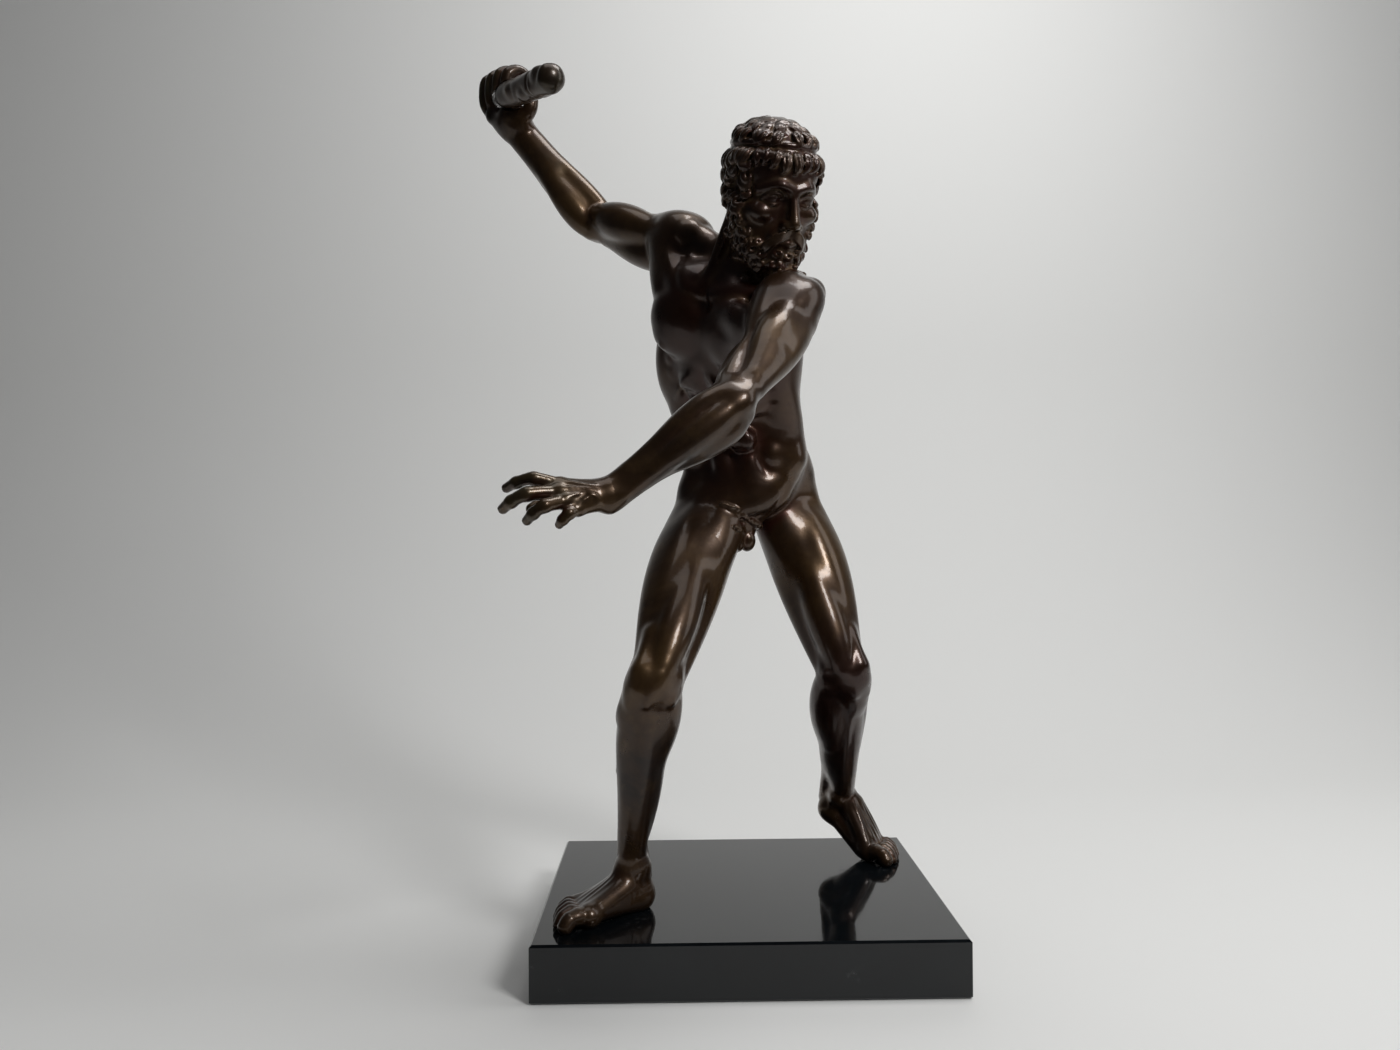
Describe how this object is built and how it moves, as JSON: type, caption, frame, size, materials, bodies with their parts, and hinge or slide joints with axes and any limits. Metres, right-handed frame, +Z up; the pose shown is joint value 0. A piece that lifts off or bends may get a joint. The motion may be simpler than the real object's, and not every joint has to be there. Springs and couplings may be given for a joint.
{
  "type": "hercules statue",
  "caption": "Bronze figure of a bearded athlete striding with a club raised, on a rectangular black marble slab.",
  "frame": {"origin": "centre of the slab's underside", "axes": "+Z up along the height, the figure's chest turned towards -X and -Y, +Y towards its back"},
  "size_m": [0.2703, 0.2632, 0.5219],
  "materials": {
    "bronze": "dark brown lacquered patina, glossy",
    "club_bronze": "dark brown lacquered patina, glossy",
    "marble": "polished black marble"
  },
  "bodies": {
    "root": {"figure": "bronze", "club": "club_bronze", "base": "marble"}
  },
  "joints": []
}
